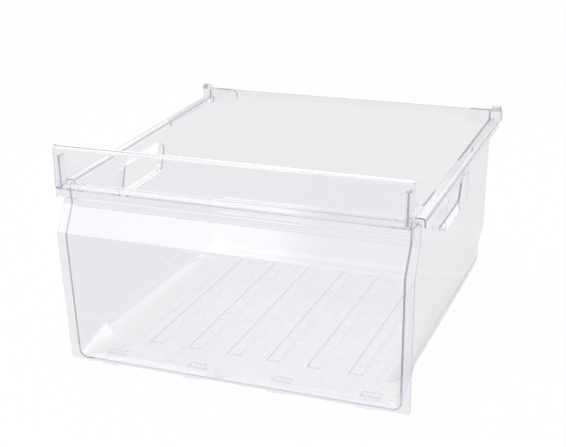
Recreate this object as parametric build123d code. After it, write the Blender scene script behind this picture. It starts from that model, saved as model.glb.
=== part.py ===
from build123d import *
import os
from math import hypot, radians, tan

os.makedirs("parts", exist_ok=True)

# Freezer drawer: a clear moulded bin, open at the top and at the front, with a bent front
# panel, a handle rail above it and a stop at each rear corner.
# All sizes are in millimetres. X is to the right, Y to the rear and Z up.
# The pieces are drawn with Y = 0 at the front face of the rail and Z = 0 at the lowest edge.
# They are moved at the end, so that the origin is at the middle of the footprint.

# The whole: the front's width at its foot, the rail's top and the depth
front_width = 430.0
rail_top_height = 275.5
drawer_depth = 442.0

# Front panel: a bent plate, whose front face is set out from the bottom edge upwards
crease_flare = 3.0
panel_wall = 2.5
panel_foot_set_back = 7.0
crease_height = 167.0
recess_depth = 20.0
recess_rise = 25.0
crease_radius = 6.0
recess_radius = 5.0
panel_corner_radius = 4.0

# Handle rail: an upright band with its top lip turned back and a shelf over the recess
rail_height = 62.0
rail_wall = 2.6
lip_depth = 6.5
lip_radius = 5.0
rail_end_depth = 5.0
shelf_drop = 50.5
shelf_wall = 2.5
shelf_overhang = 3.0

# Grips behind the rail: two ribs at each end that hold the front edge of a cheek
grip_depth = 6.0
grip_wall = 1.6

# Bin: floor, two drafted side walls and a rear wall in one moulding
# Its bottom corners start small behind the panel and grow over a run to the rear.
bin_set_in = 9.5
bin_draft = 1.0
bin_wall = 2.4
floor_clearance = 3.0
bottom_corner_radius = 44.0
front_corner_radius = 4.0
corner_run = 66.0
rear_corner_radius = 11.0
rear_set_in = 6.0
rear_draft = 0.7
rear_step_depth = 27.0
rear_step_low = 61.0
rear_step_high = 73.0
rear_step_low_radius = 8.0
rear_step_high_radius = 16.0

# Side rims: they rise gently to the rear, from the foot of the cheek
rim_over_shelf = 2.5
rim_slope = 1.3
rear_rim_rise = 17.5

# Cheeks: the front ends of the side walls, raised behind the rail
cheek_drop = 12.5
cheek_land = 16.0
cheek_foot = 80.0

# Side runners: flanges turned out and down from the rim, closed at the front end
runner_reach = 11.6
runner_wall = 2.2
runner_lip_drop = 11.0
runner_radius = 4.0
runner_front = 31.0
guide_rib_front = 296.0
guide_rib_inset = 6.0
guide_rib_wall = 1.8
guide_rib_drop = 8.0

# Rear rim: a flange turned back and down between the two stops
rear_lip_drop = 8.5
rear_lip_wall = 1.8
rear_lip_radius = 2.4
rim_to_stop = 4.0

# Hand-holes: leaning slots in the side walls, each with a collar that stands out
hole_length = 113.0
hole_height = 36.0
hole_drop = 56.5
hole_front = 141.0
hole_lean = 13.0
hole_radius = 9.0
collar_wall = 2.2
collar_reach = 8.0

# Floor ribs: wide, low and hollow from below
rib_count = 6
rib_pitch = 52.5
rib_width = 20.0
rib_front = 70.0
rib_rear_gap = 29.0
rib_radius = 6.0

# Bosses: the ribs and the clip pockets rise from the floor with gentle flanks
boss_rise = 1.2
boss_taper = 66.0

# Skids under the floor
skid_set_in = 46.5
skid_width = 3.0
skid_front = 62.0

# Clips: tongues on the panel's foot that pass under the floor and catch in its pockets
clip_count = 4
clip_pitch = 109.0
pocket_width = 26.0
pocket_depth = 15.0
pocket_radius = 5.0
pocket_set_back = 31.0
tongue_width = 23.0
tongue_wall = 2.3
catch_width = 18.0
catch_depth = 7.0
catch_headroom = 0.5

# Rail tabs: upright tongues near the panel's ends that catch in slots in the shelf
tab_insets = (28.0, 17.0)
tab_width = 5.0
tab_wall = 1.7
tab_rise = 4.0

# Rear stops: half-round ended blocks behind the rear wall, each with an ear
stop_overhang = 1.5
stop_length = 51.0
stop_height = 20.5
stop_rise = 0.5
stop_ear_depth = 13.0
ear_rise = 7.0
ear_length = 12.0
ear_run = 9.0
ear_back_run = 10.0
ear_back_drop = 9.0
foot_chamfer = 6.0
peg_radius = 3.0

# Clearances between the pieces
seam = 0.3
peg_clearance = 0.2

# Widths that follow, as half widths
foot_half_width = front_width / 2
crease_half_width = foot_half_width + crease_flare
bin_half_width = foot_half_width - bin_set_in
skid_half_pitch = bin_half_width - skid_set_in
tab_positions = [crease_half_width - inset for inset in tab_insets]

# Heights that follow
shelf_top_height = rail_top_height - shelf_drop
shelf_underside = shelf_top_height - shelf_wall
recess_foot_height = shelf_top_height - recess_rise
cheek_height = rail_top_height - cheek_drop
rim_height = shelf_top_height + rim_over_shelf
rear_rim_height = rim_height + rear_rim_rise
hole_foot_height = rim_height - hole_drop
stop_top_height = rear_rim_height + stop_rise
stop_foot_height = stop_top_height - stop_height
ear_top_height = stop_top_height + ear_rise

# Depths that follow
rear_wall_position = drawer_depth - rear_set_in
rear_low_position = rear_wall_position - rear_step_depth
rib_rear = rear_low_position - rib_rear_gap
rib_length = rib_rear - rib_front


def parallel(points, distance):
    """An open outline moved square to itself, to the right of its direction if positive."""
    lines = []
    for (ax, ay), (bx, by) in zip(points, points[1:]):
        length = hypot(bx - ax, by - ay)
        shift_x = (by - ay) / length * distance
        shift_y = (ax - bx) / length * distance
        lines.append((ax + shift_x, ay + shift_y, bx - ax, by - ay))
    moved = [lines[0][:2]]
    for (px, py, dx, dy), (qx, qy, ex, ey) in zip(lines, lines[1:]):
        along = ((qx - px) * ey - (qy - py) * ex) / (dx * ey - dy * ex)
        moved.append((px + dx * along, py + dy * along))
    px, py, dx, dy = lines[-1]
    moved.append((px + dx, py + dy))
    return moved


def bent_plate(points, radii, wall):
    """The section of a plate whose outer face follows the points and has rounded bends.

    The wall is to the right of the outline. Each radius is that of the outer face, and it is
    positive where the wall is on the inside of the bend and negative where it is outside."""
    inner = parallel(points, wall)
    outer_line = FilletPolyline(*points, radius=[abs(r) for r in radii])
    inner_line = FilletPolyline(*inner, radius=[abs(r - wall) for r in radii])
    ends = Line(points[0], inner[0]) + Line(points[-1], inner[-1])
    return make_face(outer_line + inner_line + ends)


def obround(length, width):
    """A slot outline with its length along X."""
    return SlotOverall(length, width)


def mirrored(shape):
    """The shape's twin on the other side of the drawer."""
    return mirror(shape, about=Plane.YZ)


def side_half_width(height):
    """Half the bin's outer width at a height."""
    return bin_half_width + (height - floor_clearance) * tan(radians(bin_draft))


def rim_at(position):
    """The side rim's height at a distance from the front."""
    return rim_height + (position - cheek_foot) * tan(radians(rim_slope))


def rear_outer(height):
    """The rear wall's outer face above the step."""
    return rear_wall_position + (height - rear_step_high) * tan(radians(rear_draft))


# The panel's front face in side view, from its foot to just under the shelf
panel_front = [
    (panel_foot_set_back, 0.0),
    (0.0, crease_height),
    (recess_depth, recess_foot_height),
    (recess_depth, shelf_underside - seam),
]
panel_radii = [crease_radius, -recess_radius]
shelf_rear = recess_depth + panel_wall + shelf_overhang
rib_positions = [(i - (rib_count - 1) / 2) * rib_pitch for i in range(rib_count)]
clip_positions = [(i - (clip_count - 1) / 2) * clip_pitch for i in range(clip_count)]
tab_middle = recess_depth + panel_wall / 2

# The runners' edge, and the stops that stand out past it
runner_half_width = side_half_width(rim_height) + runner_reach
stop_outer = runner_half_width + stop_overhang
stop_inner = stop_outer - stop_length
ear_top_inner = stop_outer - ear_length
ear_foot_inner = ear_top_inner - ear_run
rear_rim_half_width = stop_inner - rim_to_stop


def bin_section(inset, corner):
    """The bin in front view, filled, with its bottom corners rounded."""
    top = rail_top_height
    outline = [
        (-side_half_width(top), top),
        (-bin_half_width, floor_clearance),
        (bin_half_width, floor_clearance),
        (side_half_width(top), top),
    ]
    outline = parallel(outline, -inset)
    return make_face(
        FilletPolyline(*outline, radius=[corner, corner]) + Line(outline[0], outline[-1])
    )


def bin_block(inset):
    """The solid that the bin would fill, with all its walls moved in by an inset."""
    top = rail_top_height
    near = Plane.XZ.offset(rail_wall) * bin_section(inset, front_corner_radius - inset)
    far = Plane.XZ.offset(-corner_run) * bin_section(inset, bottom_corner_radius - inset)
    rear_foot = rear_low_position - (rear_step_low - floor_clearance) * tan(radians(rear_draft))
    side = [
        (-rail_wall, floor_clearance),
        (rear_foot, floor_clearance),
        (rear_low_position, rear_step_low),
        (rear_wall_position, rear_step_high),
        (rear_outer(top), top),
    ]
    side = parallel(side, -inset)
    foot_line = Line(side[0], side[1])
    rear_line = FilletPolyline(
        *side[1:], radius=[rear_step_low_radius + inset, rear_step_high_radius - inset]
    )
    front_top = (side[0][0], side[-1][1])
    back = make_face(foot_line + rear_line + Line(side[-1], front_top) + Line(front_top, side[0]))
    block = extrude(far, amount=-2 * drawer_depth) & extrude(
        Plane.YZ * back, amount=front_width, both=True
    )
    corner_chain = [
        edge for edge in block.edges()
        if edge.center().Y > rear_foot - inset - 1
        and edge.center().Z < top - 2 * inset - 1
        and (abs(edge.center().X) > bin_half_width / 2 or edge.center().Z < floor_clearance + inset + 1)
    ]
    return fillet(corner_chain, rear_corner_radius - inset) + loft([near, far], ruled=True)


def upright(front, rear, foot, top):
    """A rectangle in side view, between two depths and two heights."""
    return Pos((front + rear) / 2, (foot + top) / 2) * Rectangle(rear - front, top - foot)


def front_space():
    """The room in side view for the panel, the shelf and the rail, with a seam behind them."""
    gap = panel_wall + seam
    back = parallel(panel_front, gap)
    ahead = -rail_wall
    panel_line = FilletPolyline(*back, radius=[crease_radius - gap, recess_radius + gap])
    border = Polyline(back[-1], (ahead, back[-1][1]), (ahead, back[0][1]), back[0])
    shelf_space = upright(ahead, shelf_rear + seam, shelf_underside - seam, shelf_top_height + seam)
    rail_space = upright(ahead, rail_wall + seam, shelf_underside - seam, rail_top_height)
    return make_face(panel_line + border) + shelf_space + rail_space


def rim_outline():
    """What the bin keeps in side view: below its rims and behind the panel and the rail."""
    rise = rear_wall_position - rear_corner_radius
    rim_run = (cheek_foot - rise, rim_height - rim_at(rise))
    cheek_arc = TangentArc((cheek_foot, rim_height), (cheek_land, cheek_height), tangent=rim_run)
    border = Polyline(
        (cheek_land, cheek_height),
        (0.0, cheek_height),
        (0.0, 0.0),
        (2 * drawer_depth, 0.0),
        (2 * drawer_depth, rear_rim_height),
        (rise, rear_rim_height),
        (rise, rim_at(rise)),
        (cheek_foot, rim_height),
    )
    return make_face(border + cheek_arc) - front_space()


def runner():
    """The right-hand flange with its closed front end and the guide rib at its rear half."""
    root = side_half_width(rim_height) - bin_wall / 2
    rear = drawer_depth - stop_ear_depth - seam
    along = Vector(0, 1, tan(radians(rim_slope)))
    top = rim_at(runner_front)
    path = [
        (root, top),
        (runner_half_width, top),
        (runner_half_width, top - runner_lip_drop),
    ]
    flange_face = Plane.XZ.offset(-runner_front) * bent_plate(path, [runner_radius], runner_wall)
    flange = extrude(flange_face, amount=(rear - runner_front) * along.length, dir=along)
    end_face = make_face(
        FilletPolyline(*path, radius=[runner_radius])
        + Polyline(path[-1], (root, path[-1][1]), path[0])
    )
    end = extrude(Plane.XZ.offset(-runner_front) * end_face, amount=-runner_wall)
    guide_middle = runner_half_width - runner_wall - guide_rib_inset
    guide_top = rim_at(guide_rib_front) - runner_wall / 2
    guide_face = Plane.XZ.offset(-guide_rib_front) * Pos(guide_middle, guide_top) * Rectangle(
        guide_rib_wall, guide_rib_drop, align=(Align.CENTER, Align.MAX)
    )
    guide = extrude(guide_face, amount=(rear - guide_rib_front) * along.length, dir=along)
    return flange + end + guide


def rear_rim():
    """The flange along the top of the rear wall, turned back and down."""
    root = rear_outer(rear_rim_height) - bin_wall / 2
    path = [
        (root, rear_rim_height),
        (drawer_depth, rear_rim_height),
        (drawer_depth, rear_rim_height - rear_lip_drop),
    ]
    face = bent_plate(path, [rear_lip_radius], rear_lip_wall)
    return extrude(Plane.YZ * face, amount=rear_rim_half_width, both=True)


def hole_face():
    """The leaning hand-hole in side view."""
    rear = hole_front + hole_length
    rise = hole_length * tan(radians(rim_slope))
    top = hole_foot_height + hole_height
    face = make_face(
        Polyline(
            (hole_front, hole_foot_height),
            (rear, hole_foot_height + rise),
            (rear + hole_lean, top + rise),
            (hole_front + hole_lean, top),
            close=True,
        )
    )
    return fillet(face.vertices(), hole_radius)


def collar():
    """The right-hand collar before its hole is cut, from inside the wall outwards."""
    root = side_half_width(hole_foot_height) - bin_wall / 2
    face = offset(hole_face(), amount=collar_wall)
    return extrude(Plane.YZ.offset(root) * face, amount=collar_reach + bin_wall / 2)


def hand_hole():
    """The cutter for the right-hand hand-hole."""
    root = side_half_width(hole_foot_height) - 2 * bin_wall
    return extrude(Plane.YZ.offset(root) * hole_face(), amount=collar_reach + 4 * bin_wall)


def floor_boss(outline_width, outline_length, corner, drop):
    """A low boss that rises out of the floor, or its hollow when it is dropped by the floor's wall.

    The hollow's outline is narrower, so that the flanks are as thick as the floor, and it has
    square corners."""
    root = bin_wall / 2
    spread = root * tan(radians(boss_taper)) - drop * tan(radians((90 - boss_taper) / 2))
    width = outline_width + 2 * spread
    length = outline_length + 2 * spread
    outline = Rectangle(width, length) if drop else RectangleRounded(width, length, corner + spread)
    base = floor_clearance + bin_wall - drop - root
    return Pos(0, 0, base) * extrude(outline, amount=root + boss_rise, taper=boss_taper)


def rib(x, drop):
    """One floor rib, or its hollow."""
    middle = rib_front + rib_length / 2
    return Pos(x, middle, 0) * floor_boss(rib_width, rib_length, rib_radius, drop)


def pocket(x, drop):
    """One boss over a clip's catch, or its hollow."""
    return Pos(x, pocket_set_back, 0) * floor_boss(pocket_width, pocket_depth, pocket_radius, drop)


def skid():
    """The right-hand skid under the floor."""
    length = rib_rear - skid_front
    outline = obround(length, skid_width)
    return Pos(skid_half_pitch, skid_front + length / 2, 0) * extrude(
        Rot(0, 0, 90) * outline, amount=floor_clearance + bin_wall / 2
    )


def stop_centre_height():
    """The height of the middle of the stop's half-round end."""
    return (stop_foot_height + stop_top_height) / 2


def stop_peg_position():
    """The middle of the stop's half-round end, in front view."""
    radius = (stop_top_height - stop_foot_height) / 2
    return (stop_inner + radius, stop_centre_height())


def peg(radius, front, rear):
    """A round along Y for the stop's peg or for its hole."""
    x, z = stop_peg_position()
    return extrude(Plane.XZ.offset(-rear) * Pos(x, z) * Circle(radius), amount=rear - front)


def basket():
    """The bin with its rims, runners, hand-holes, floor ribs, clip pockets and skids."""
    shell = bin_block(0) - bin_block(bin_wall)
    shell = shell & extrude(Plane.YZ * rim_outline(), amount=front_width, both=True)
    wall_rear = rear_outer(rear_rim_height)
    hand = hand_hole()
    side = runner() + collar()
    shell = shell + side + mirrored(side) + rear_rim()
    shell = shell - hand - mirrored(hand)
    for x in rib_positions:
        shell = shell + rib(x, 0) - rib(x, bin_wall)
    for x in clip_positions:
        shell = shell + pocket(x, 0) - pocket(x, bin_wall)
    shell = shell + skid() + mirrored(skid())
    peg_hole = peg(peg_radius + peg_clearance, wall_rear - 3 * bin_wall, wall_rear + bin_wall)
    return shell - peg_hole - mirrored(peg_hole)


def panel_outline():
    """The panel in front view: it narrows a little from the crease down."""
    lower = FilletPolyline(
        (-crease_half_width, crease_height),
        (-foot_half_width, 0),
        (foot_half_width, 0),
        (crease_half_width, crease_height),
        radius=panel_corner_radius,
    )
    upper = Polyline(
        (crease_half_width, crease_height),
        (crease_half_width, shelf_top_height),
        (-crease_half_width, shelf_top_height),
        (-crease_half_width, crease_height),
    )
    return make_face(lower + upper)


def clip(x):
    """One tongue behind the panel's foot, with the catch that stands up in its pocket."""
    start = panel_foot_set_back + panel_wall / 2
    end = pocket_set_back + catch_depth / 2
    tongue = Pos(x, (start + end) / 2, tongue_wall / 2) * Box(
        tongue_width, end - start, tongue_wall
    )
    rise = floor_clearance + boss_rise - catch_headroom - tongue_wall / 2
    catch = extrude(obround(catch_width, catch_depth), amount=rise)
    return tongue + Pos(x, pocket_set_back, tongue_wall / 2) * catch


def front_panel():
    """The bent front with its four clips and the tabs that hold the rail."""
    bent = extrude(
        Plane.YZ * bent_plate(panel_front, panel_radii, panel_wall), amount=front_width, both=True
    )
    plate = bent & extrude(Plane.XZ * panel_outline(), amount=drawer_depth, both=True)
    for x in clip_positions:
        plate = plate + clip(x)
    tab_top = shelf_top_height + seam
    tab_foot = shelf_underside - 2 * tab_rise
    for x in tab_positions:
        for side in (-1, 1):
            tab = Pos(side * x, tab_middle, (tab_foot + tab_top) / 2) * Box(
                tab_width, tab_wall, tab_top - tab_foot
            )
            plate = plate + tab
    return plate


def cheek_grip():
    """The two ribs behind the right-hand end of the rail, one each side of the cheek."""
    depth = grip_depth + rail_wall / 2
    height = cheek_height - shelf_top_height + shelf_wall / 2
    centre_y = rail_wall / 2 + depth / 2
    centre_z = cheek_height - height / 2
    outer = side_half_width(cheek_height) + seam + grip_wall / 2
    inner = side_half_width(shelf_top_height) - bin_wall - seam - grip_wall / 2
    rib = Pos(0, centre_y, centre_z) * Box(grip_wall, depth, height)
    return Pos(outer, 0, 0) * rib + Pos(inner, 0, 0) * rib


def handle_rail():
    """The band, its rolled lip and end walls, and the shelf with the tab slots."""
    foot = rail_top_height - rail_height
    path = [(0.0, foot), (0.0, rail_top_height), (lip_depth, rail_top_height)]
    face = bent_plate(path, [lip_radius], rail_wall)
    band = extrude(Plane.YZ * face, amount=foot_half_width, both=True)
    shelf_depth = shelf_rear - rail_wall / 2
    shelf = Pos(0, shelf_rear - shelf_depth / 2, shelf_top_height - shelf_wall / 2) * Box(
        front_width, shelf_depth, shelf_wall
    )
    end_front = FilletPolyline(
        (0.0, foot), (0.0, rail_top_height), (lip_depth, rail_top_height), radius=lip_radius
    )
    end_back = Polyline(
        (lip_depth, rail_top_height),
        (lip_depth, rail_top_height - rail_wall),
        (rail_end_depth, rail_top_height - rail_wall),
        (rail_end_depth, foot),
        (0.0, foot),
    )
    end_face = make_face(end_front + end_back)
    end = extrude(Plane.YZ.offset(foot_half_width - rail_wall) * end_face, amount=rail_wall)
    end = end + cheek_grip()
    rail = band + shelf + end + mirrored(end)
    for x in tab_positions:
        for side in (-1, 1):
            slot = Pos(side * x, tab_middle, shelf_top_height - shelf_wall / 2) * Box(
                tab_width + 2 * seam, tab_wall + 2 * seam, 2 * shelf_wall
            )
            rail = rail - slot
    return rail


def rear_stop():
    """The right-hand stop: plate, half-round inner end, ear, side block and peg."""
    radius = (stop_top_height - stop_foot_height) / 2
    centre = stop_centre_height()
    start = (stop_inner + radius, stop_foot_height)
    end = (stop_inner + radius, stop_top_height)
    outline = Polyline(
        end,
        (ear_foot_inner, stop_top_height),
        (ear_top_inner, ear_top_height),
        (stop_outer, ear_top_height),
        (stop_outer, stop_foot_height + foot_chamfer),
        (stop_outer - foot_chamfer, stop_foot_height),
        start,
    )
    face = make_face(outline + ThreePointArc(start, (stop_inner, centre), end))
    plate_front = rear_outer(ear_top_height) + seam
    plate = extrude(Plane.XZ.offset(-drawer_depth) * face, amount=drawer_depth - plate_front)
    block_inner = side_half_width(ear_top_height) + seam
    block = extrude(Plane.XZ.offset(-drawer_depth) * face, amount=stop_ear_depth)
    keep = Pos(block_inner, 0, 0) * Box(
        drawer_depth, 2 * drawer_depth, 2 * rail_top_height, align=(Align.MIN, Align.CENTER, Align.CENTER)
    )
    slope = Polyline(
        (drawer_depth - ear_back_run, ear_top_height),
        (drawer_depth, ear_top_height - ear_back_drop),
        (drawer_depth, ear_top_height),
        close=True,
    )
    body = plate + (block & keep) - extrude(Plane.YZ * make_face(slope), amount=drawer_depth)
    peg_end = rear_outer(centre) - bin_wall
    return body + peg(peg_radius, peg_end, drawer_depth - seam)


def write(shape, node):
    """Centres the drawer on its origin and writes one node."""
    placed = Pos(0, -drawer_depth / 2, 0) * shape
    export_step(placed, f"parts/{node}.step")
    print(node, len(placed.solids()), round(placed.volume), placed.bounding_box())


write(basket(), "basket")
write(front_panel(), "front_panel")
write(handle_rail(), "handle_rail")
right_stop = rear_stop()
write(right_stop, "right_rear_stop")
write(mirrored(right_stop), "left_rear_stop")
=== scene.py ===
import bpy
from math import cos, radians, sin
from mathutils import Matrix, Vector


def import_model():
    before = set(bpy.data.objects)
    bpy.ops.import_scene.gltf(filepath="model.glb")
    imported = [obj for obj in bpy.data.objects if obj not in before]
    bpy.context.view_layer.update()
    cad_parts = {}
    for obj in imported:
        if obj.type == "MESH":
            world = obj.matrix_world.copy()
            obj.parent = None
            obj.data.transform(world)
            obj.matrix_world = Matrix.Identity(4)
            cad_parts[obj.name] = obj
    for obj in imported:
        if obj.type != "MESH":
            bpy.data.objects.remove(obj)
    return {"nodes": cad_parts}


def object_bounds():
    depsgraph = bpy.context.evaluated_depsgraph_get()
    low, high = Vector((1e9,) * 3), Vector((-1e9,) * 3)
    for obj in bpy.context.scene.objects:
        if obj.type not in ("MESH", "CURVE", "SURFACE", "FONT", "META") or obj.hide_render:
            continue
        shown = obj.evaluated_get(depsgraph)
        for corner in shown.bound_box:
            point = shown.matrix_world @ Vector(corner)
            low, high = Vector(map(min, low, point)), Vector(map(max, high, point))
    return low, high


# Freezer drawer in clear plastic on a white floor, in metres.
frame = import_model()
cad_low, cad_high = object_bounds()

# Camera: its angles in degrees, and where it looks
CAMERA_AZIMUTH = 21.28
CAMERA_ELEVATION = 19.99
CAMERA_ROLL = -0.76
CAMERA_DISTANCE = 1.4626
CAMERA_TARGET = (-0.0040, -0.0319, 0.1398)
SENSOR_WIDTH = 36.0
LENS = 72.94

# Clear plastic: its tint wanders between two shades, and its surface is a little wavy and grainy
PLASTIC_IOR = 1.5
PLASTIC_ROUGHNESS = 0.03
PLASTIC_TINT = (0.982, 0.979, 0.993, 1.0)
PLASTIC_TINT_THICK = (0.972, 0.969, 0.987, 1.0)
ABSORBED_TINT = (0.62, 0.62, 0.70, 1.0)
ABSORPTION_DENSITY = 3.0
SHADOW_TINT = (0.90, 0.90, 0.93, 1.0)
WAVE_SCALE = 9.0
WAVE_DETAIL = 1.0
WAVE_STRENGTH = 0.15
WAVE_HEIGHT = 0.0012
GRAIN_SCALE = 160.0
GRAIN_DETAIL = 2.0
GRAIN_LEAST = 0.6
GRAIN_MOST = 1.4

# A ray kept inside a wall by more reflections than this shows painted shade: the grey of the edge lines
CAUGHT_AFTER = 2.5
EDGE_PAINTED_SHADE = (0.66, 0.66, 0.69, 1.0)

# Frosted floor of the basket: up to a height, and behind a line near the drawer's front
FROST_ROUGHNESS = 0.23
FROST_TINT = (1.0, 0.998, 1.0, 1.0)
FROST_CAUGHT_AFTER = 1.5
# Painted shade of the caught rays in the frosted floor, almost white
FROST_EDGE_PAINTED_SHADE = (0.98, 0.98, 1.0, 1.0)
FROST_TOP = 0.010
FROST_TOP_END = 0.016
FROST_FRONT = cad_low[1] + 0.026
FROST_FRONT_END = cad_low[1] + 0.022

# Floor and lamps
FLOOR_SIZE = 8.0
FLOOR_COLOUR = (0.9, 0.9, 0.9, 1.0)
FLOOR_WHITE_SHARE = 0.97
FLOOR_SEEN_THROUGH = 0.87
WHITE = (1.0, 1.0, 1.0, 1.0)
LAMP_TARGET = (0.0, 0.0, 0.12)
KEY_PLACE = (-1.02, -1.72, 1.46)
KEY_SIZE = 1.0
KEY_POWER = 6.5
OVERHEAD_PLACE = (0.1, 0.2, 2.3)
OVERHEAD_SIZE = 2.0
OVERHEAD_POWER = 12.0

# Sky: its light on matt things, and its level in reflections and through plastic
WORLD_LIGHT = 0.7
SKY_SEEN_THROUGH = 0.77

# Parts of the sky that are lighter in reflections and through plastic
BAND_LIFT = 0.3
TOP_LEFT_LIFT = 0.08

# Glow of the high sky and of three softboxes in reflections, and the share of it through plastic
HIGH_GLOW = 0.5
BACK_GLOW = 0.6
FRONT_GLOW = 1.5
RIGHT_GLOW = 1.6
GLOW_SEEN_THROUGH = 0.15

# Soft edges of these parts, each from nothing to full, along x, y or z of a ray's direction
LEFT_X = (-0.305, -0.350)
HIGH_Z = (0.33, 0.39)
BAND_TOP_Z = (0.60, 0.50)
TOP_Z = (0.50, 0.60)
BACK_Y = (0.2, 0.4)
BACK_FOOT_Z = (0.285, 0.31)
BACK_TOP_Z = (0.39, 0.35)
FRONT_Y = (-0.25, -0.45)
FRONT_Z = (0.40, 0.50)

# The front softbox fades to its left end
FRONT_FADE_X = (-0.52, -0.38)
FRONT_FADED = 0.7

# The right softbox is round: its direction, and its soft edge as the product with a ray's direction
RIGHT_CENTRE = (0.66, 0.43, 0.61)
RIGHT_EDGE = (0.90, 0.95)


class Nodes:
    """A node tree that is written one node at a time."""

    def __init__(self, tree):
        self.tree = tree
        tree.nodes.clear()

    def add(self, kind, settings=None, **inputs):
        """Adds a node. An input called i and a number is found by its place, and any other by name."""
        node = self.tree.nodes.new(kind)
        for name, value in (settings or {}).items():
            setattr(node, name, value)
        for name, value in inputs.items():
            key = int(name[1:]) if name[0] == "i" and name[1:].isdigit() else name.replace("_", " ")
            if isinstance(value, bpy.types.NodeSocket):
                self.tree.links.new(value, node.inputs[key])
            else:
                node.inputs[key].default_value = value
        return node

    def join(self, operation, *values):
        """Several values joined by one operation, in their order."""
        result = values[0]
        for value in values[1:]:
            settings = {"operation": operation}
            result = self.add("ShaderNodeMath", settings, i0=result, i1=value).outputs[0]
        return result

    def level(self, value, first, last, start=0.0, end=1.0):
        """A level that is first up to the start, last from the end, and runs straight between them."""
        node = self.add("ShaderNodeMapRange", i0=value, i1=start, i2=end, i3=first, i4=last)
        return node.outputs[0]

    def ramp(self, value, start, end):
        """A soft rise from 0 at the start to 1 at the end, which may be the lower one of the two."""
        low, high = min(start, end), max(start, end)
        first, last = (0.0, 1.0) if start < end else (1.0, 0.0)
        settings = {"interpolation_type": "SMOOTHSTEP"}
        node = self.add("ShaderNodeMapRange", settings, i0=value, i1=low, i2=high, i3=first, i4=last)
        return node.outputs[0]

    def blend(self, share, first, second):
        """A colour that is the first at share 0 and the second at share 1."""
        return self.add("ShaderNodeMix", {"data_type": "RGBA"}, i0=share, i6=first, i7=second).outputs[2]

    def shade(self, share, first, second):
        """A shader that is the first at share 0 and the second at share 1."""
        return self.add("ShaderNodeMixShader", i0=share, i1=first, i2=second).outputs[0]

    def noise(self, place, scale, detail):
        """Soft noise from 0 to 1."""
        return self.add("ShaderNodeTexNoise", Vector=place, Scale=scale, Detail=detail).outputs["Fac"]


def clearness(n, place):
    """1 where the plastic is clear, and 0 in the frosted floor of the basket."""
    along = n.add("ShaderNodeSeparateXYZ", Vector=place).outputs
    above = n.ramp(along["Z"], FROST_TOP, FROST_TOP_END)
    before = n.ramp(along["Y"], FROST_FRONT, FROST_FRONT_END)
    return n.join("MAXIMUM", above, before)


def refracting_plastic(n, place, clear):
    """The plastic itself, with its waves, its grain and its tint."""
    wave = n.noise(place, WAVE_SCALE, WAVE_DETAIL)
    grain = n.level(n.noise(place, GRAIN_SCALE, GRAIN_DETAIL), GRAIN_LEAST, GRAIN_MOST)
    rough = n.level(clear, FROST_ROUGHNESS, PLASTIC_ROUGHNESS)
    tint = n.blend(wave, PLASTIC_TINT, PLASTIC_TINT_THICK)
    bump = n.add("ShaderNodeBump", Strength=WAVE_STRENGTH, Distance=WAVE_HEIGHT, Height=wave)
    body = n.add(
        "ShaderNodeBsdfPrincipled",
        Base_Color=n.blend(clear, FROST_TINT, tint),
        Roughness=n.join("MULTIPLY", grain, rough),
        IOR=PLASTIC_IOR,
        Transmission_Weight=1.0,
        Normal=bump.outputs["Normal"],
    )
    return body.outputs[0]


def caught_light(n, path, clear):
    """Which rays are caught inside a wall, and the painted grey shade that they show as edge lines."""
    caught_after = n.level(clear, FROST_CAUGHT_AFTER, CAUGHT_AFTER)
    caught = n.join("GREATER_THAN", path["Glossy Depth"], caught_after)
    painted_edge_shade = n.add("ShaderNodeBsdfDiffuse", Color=n.blend(clear, FROST_EDGE_PAINTED_SHADE, EDGE_PAINTED_SHADE))
    return caught, painted_edge_shade.outputs[0]


def clear_plastic(name):
    """Clear moulded plastic that absorbs over long paths. Shadow and diffuse rays pass it as a film."""
    material = bpy.data.materials.new(name)
    material.use_nodes = True
    n = Nodes(material.node_tree)
    place = n.add("ShaderNodeTexCoord").outputs["Object"]
    path = n.add("ShaderNodeLightPath").outputs
    clear = clearness(n, place)
    caught, painted_edge_shade = caught_light(n, path, clear)
    solid = n.shade(caught, refracting_plastic(n, place, clear), painted_edge_shade)
    film = n.add("ShaderNodeBsdfTransparent", Color=SHADOW_TINT).outputs[0]
    passing = n.join("MAXIMUM", path["Is Shadow Ray"], path["Is Diffuse Ray"])
    inside = n.add("ShaderNodeVolumeAbsorption", Color=ABSORBED_TINT, Density=ABSORPTION_DENSITY).outputs[0]
    n.add("ShaderNodeOutputMaterial", Surface=n.shade(passing, solid, film), Volume=inside)
    return material


def dress(node, material):
    """Gives a CAD node its material."""
    piece = frame["nodes"][node]
    piece.data.materials.clear()
    piece.data.materials.append(material)


def sight(n, path, through):
    """Which rays show the background, and how bright they see it.

    It is white where the camera sees it, and has its own level in reflections and through plastic.
    """
    seen = n.join("MAXIMUM", path["Is Camera Ray"], path["Is Glossy Ray"], path["Is Transmission Ray"])
    return seen, n.level(path["Is Camera Ray"], through, 1.0)


def floor():
    """A pale floor that looks white and keeps a soft shadow."""
    bpy.ops.mesh.primitive_plane_add(size=FLOOR_SIZE, location=(0, 0, 0))
    plane = bpy.context.object
    plane.name = "floor"
    material = bpy.data.materials.new("floor")
    material.use_nodes = True
    n = Nodes(material.node_tree)
    path = n.add("ShaderNodeLightPath").outputs
    seen, strength = sight(n, path, FLOOR_SEEN_THROUGH)
    lit = n.add("ShaderNodeBsdfDiffuse", Color=FLOOR_COLOUR).outputs[0]
    white = n.add("ShaderNodeEmission", Color=WHITE, Strength=strength).outputs[0]
    share = n.join("MULTIPLY", seen, FLOOR_WHITE_SHARE)
    n.add("ShaderNodeOutputMaterial", Surface=n.shade(share, lit, white))
    plane.data.materials.append(material)


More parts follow.
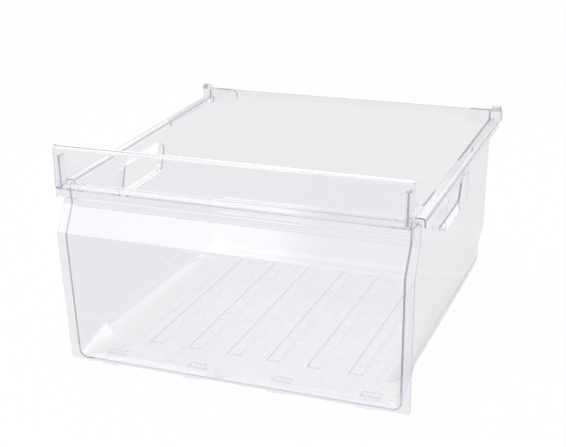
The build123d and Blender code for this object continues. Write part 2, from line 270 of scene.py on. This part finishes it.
def sky_parts(n):
    """How much lighter the sky is in a ray's direction, and how much it glows there."""
    way = n.add("ShaderNodeTexCoord").outputs["Generated"]
    x, y, z = n.add("ShaderNodeSeparateXYZ", Vector=way).outputs
    left = n.ramp(x, *LEFT_X)
    high = n.ramp(z, *HIGH_Z)

    band = n.join("MULTIPLY", high, n.ramp(z, *BAND_TOP_Z), BAND_LIFT)
    top_left = n.join("MULTIPLY", n.ramp(z, *TOP_Z), left, TOP_LEFT_LIFT)
    lift = n.join("ADD", band, top_left)

    back = n.join("MULTIPLY", left, n.ramp(y, *BACK_Y), n.ramp(z, *BACK_FOOT_Z), n.ramp(z, *BACK_TOP_Z))
    fade = n.level(x, FRONT_FADED, 1.0, *FRONT_FADE_X)
    front = n.join("MULTIPLY", left, fade, n.ramp(y, *FRONT_Y), n.ramp(z, *FRONT_Z))
    product = n.add("ShaderNodeVectorMath", {"operation": "DOT_PRODUCT"}, i0=way, i1=RIGHT_CENTRE)
    right = n.ramp(product.outputs["Value"], *RIGHT_EDGE)
    glows = ((back, BACK_GLOW), (front, FRONT_GLOW), (high, HIGH_GLOW), (right, RIGHT_GLOW))
    glow = n.join("ADD", *(n.join("MULTIPLY", part, strength) for part, strength in glows))
    return lift, glow


def world():
    """White where the camera sees it, softboxes in reflections, and plain soft light elsewhere."""
    sky = bpy.data.worlds.new("studio")
    bpy.context.scene.world = sky
    sky.use_nodes = True
    n = Nodes(sky.node_tree)
    path = n.add("ShaderNodeLightPath").outputs
    seen, strength = sight(n, path, SKY_SEEN_THROUGH)
    mirrored, refracted = path["Is Glossy Ray"], path["Is Transmission Ray"]
    lift_share = n.join("MAXIMUM", mirrored, refracted)
    glow_share = n.join("MAXIMUM", mirrored, n.join("MULTIPLY", refracted, GLOW_SEEN_THROUGH))
    lift, glow = sky_parts(n)
    lifted = n.join("MULTIPLY", lift, lift_share)
    glowing = n.join("MULTIPLY", glow, glow_share)
    shown = n.join("ADD", strength, lifted, glowing)
    level = n.add("ShaderNodeMix", {"data_type": "FLOAT"}, i0=seen, i2=WORLD_LIGHT, i3=shown)
    light = n.add("ShaderNodeBackground", Color=WHITE, Strength=level.outputs[0])
    n.add("ShaderNodeOutputWorld", Surface=light.outputs[0])


def lamp(name, place, size, power):
    """A square soft lamp that looks at the drawer, seen neither in reflections nor through plastic."""
    data = bpy.data.lights.new(name, "AREA")
    data.size = size
    data.energy = power
    obj = bpy.data.objects.new(name, data)
    obj.location = place
    aim = Vector(LAMP_TARGET) - Vector(place)
    obj.rotation_euler = aim.to_track_quat("-Z", "Y").to_euler()
    obj.visible_glossy = False
    obj.visible_transmission = False
    bpy.context.scene.collection.objects.link(obj)


def camera():
    """The camera at the photograph's viewing angle."""
    azimuth = radians(CAMERA_AZIMUTH)
    elevation = radians(CAMERA_ELEVATION)
    roll = radians(CAMERA_ROLL)
    back = Vector((sin(azimuth) * cos(elevation), -cos(azimuth) * cos(elevation), sin(elevation)))
    right = Vector((cos(azimuth), sin(azimuth), 0.0))
    up = back.cross(right)
    across = right * cos(roll) + up * sin(roll)
    above = up * cos(roll) - right * sin(roll)
    matrix = Matrix((across, above, back)).transposed().to_4x4()
    matrix.translation = Vector(CAMERA_TARGET) + back * CAMERA_DISTANCE
    data = bpy.data.cameras.new("camera")
    data.sensor_width = SENSOR_WIDTH
    data.lens = LENS
    obj = bpy.data.objects.new("camera", data)
    obj.matrix_world = matrix
    bpy.context.scene.collection.objects.link(obj)
    bpy.context.scene.camera = obj


for node in ("basket", "front_panel", "handle_rail", "left_rear_stop", "right_rear_stop"):
    dress(node, clear_plastic(node + "_plastic"))
floor()
world()
lamp("key", KEY_PLACE, KEY_SIZE, KEY_POWER)
lamp("overhead", OVERHEAD_PLACE, OVERHEAD_SIZE, OVERHEAD_POWER)
camera()
bpy.context.scene.view_settings.view_transform = "Standard"
